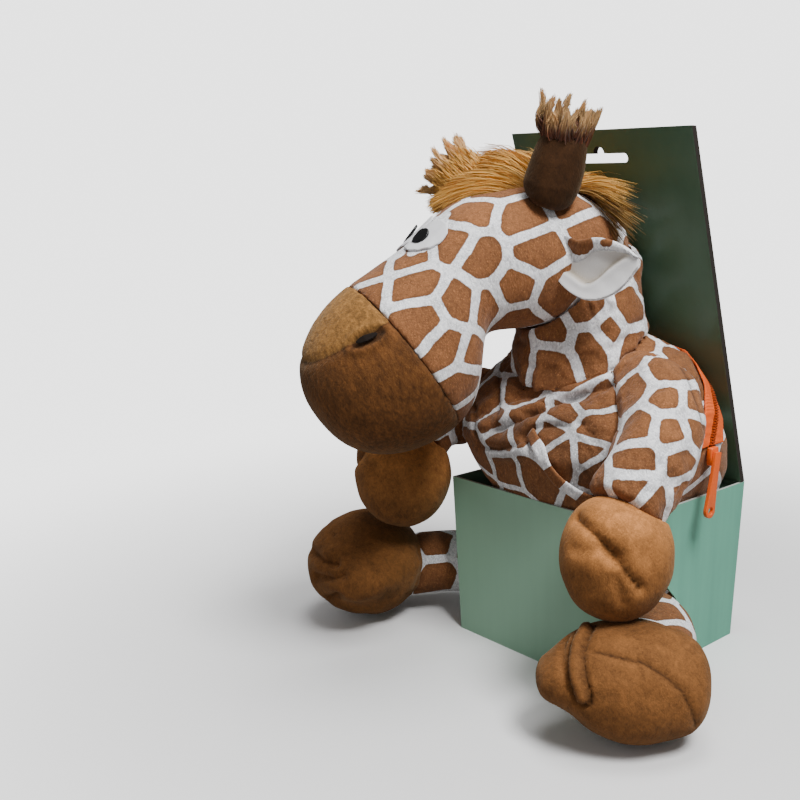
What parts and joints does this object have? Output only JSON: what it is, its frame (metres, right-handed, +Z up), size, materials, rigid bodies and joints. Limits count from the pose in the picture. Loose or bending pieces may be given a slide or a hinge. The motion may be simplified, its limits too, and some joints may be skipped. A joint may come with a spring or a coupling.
{
  "type": "toddler harness backpack in a display carton",
  "caption": "Plush giraffe backpack with an arched zip over its hollow back, seated in an open display carton with a leaning hang card.",
  "frame": {"origin": "middle of the carton's flat underside, on the surface that it stands on", "axes": "+Z up; -Y towards the front of the carton; +X towards the giraffe's left side"},
  "size_m": [0.3504, 0.2672, 0.379],
  "materials": {
    "carton_board": "matt printed board, green",
    "spotted_plush": "short pile, brown patches in a white net",
    "brown_plush": "short pile, plain brown",
    "muzzle_plush": "short brushed pile, plain brown",
    "golden_fur": "long golden brown pile",
    "white_felt": "smooth short pile, white",
    "black_felt": "felt, black",
    "pupil_thread": "satin stitch, black",
    "zip_tape": "woven tape, orange",
    "zip_coil": "nylon coil, orange",
    "zip_slider": "painted, orange",
    "zip_pull": "soft moulded tab, orange"
  },
  "bodies": {
    "root": {"carton_tray": "carton_board", "carton_back_card": "carton_board", "belly": "spotted_plush", "back_pocket": "spotted_plush", "neck": "spotted_plush", "head": "spotted_plush", "muzzle": "muzzle_plush", "zip_tape_front": "zip_tape", "zip_tape_back": "zip_tape", "zip_coil": "zip_coil", "zip_slider": "zip_slider", "zip_pull": "zip_pull", "front_strap": "spotted_plush", "mane": "golden_fur", "eye_white_left": "white_felt", "eye_pupil_left": "pupil_thread", "nostril_left": "black_felt", "ear_left": "spotted_plush", "ear_lining_left": "white_felt", "horn_left": "brown_plush", "horn_tuft_left": "golden_fur", "arm_left": "spotted_plush", "hand_left": "brown_plush", "leg_left": "spotted_plush", "foot_left": "brown_plush", "eye_white_right": "white_felt", "eye_pupil_right": "pupil_thread", "nostril_right": "black_felt", "ear_right": "spotted_plush", "ear_lining_right": "white_felt", "horn_right": "brown_plush", "horn_tuft_right": "golden_fur", "arm_right": "spotted_plush", "hand_right": "brown_plush", "leg_right": "spotted_plush", "foot_right": "brown_plush"}
  },
  "joints": []
}
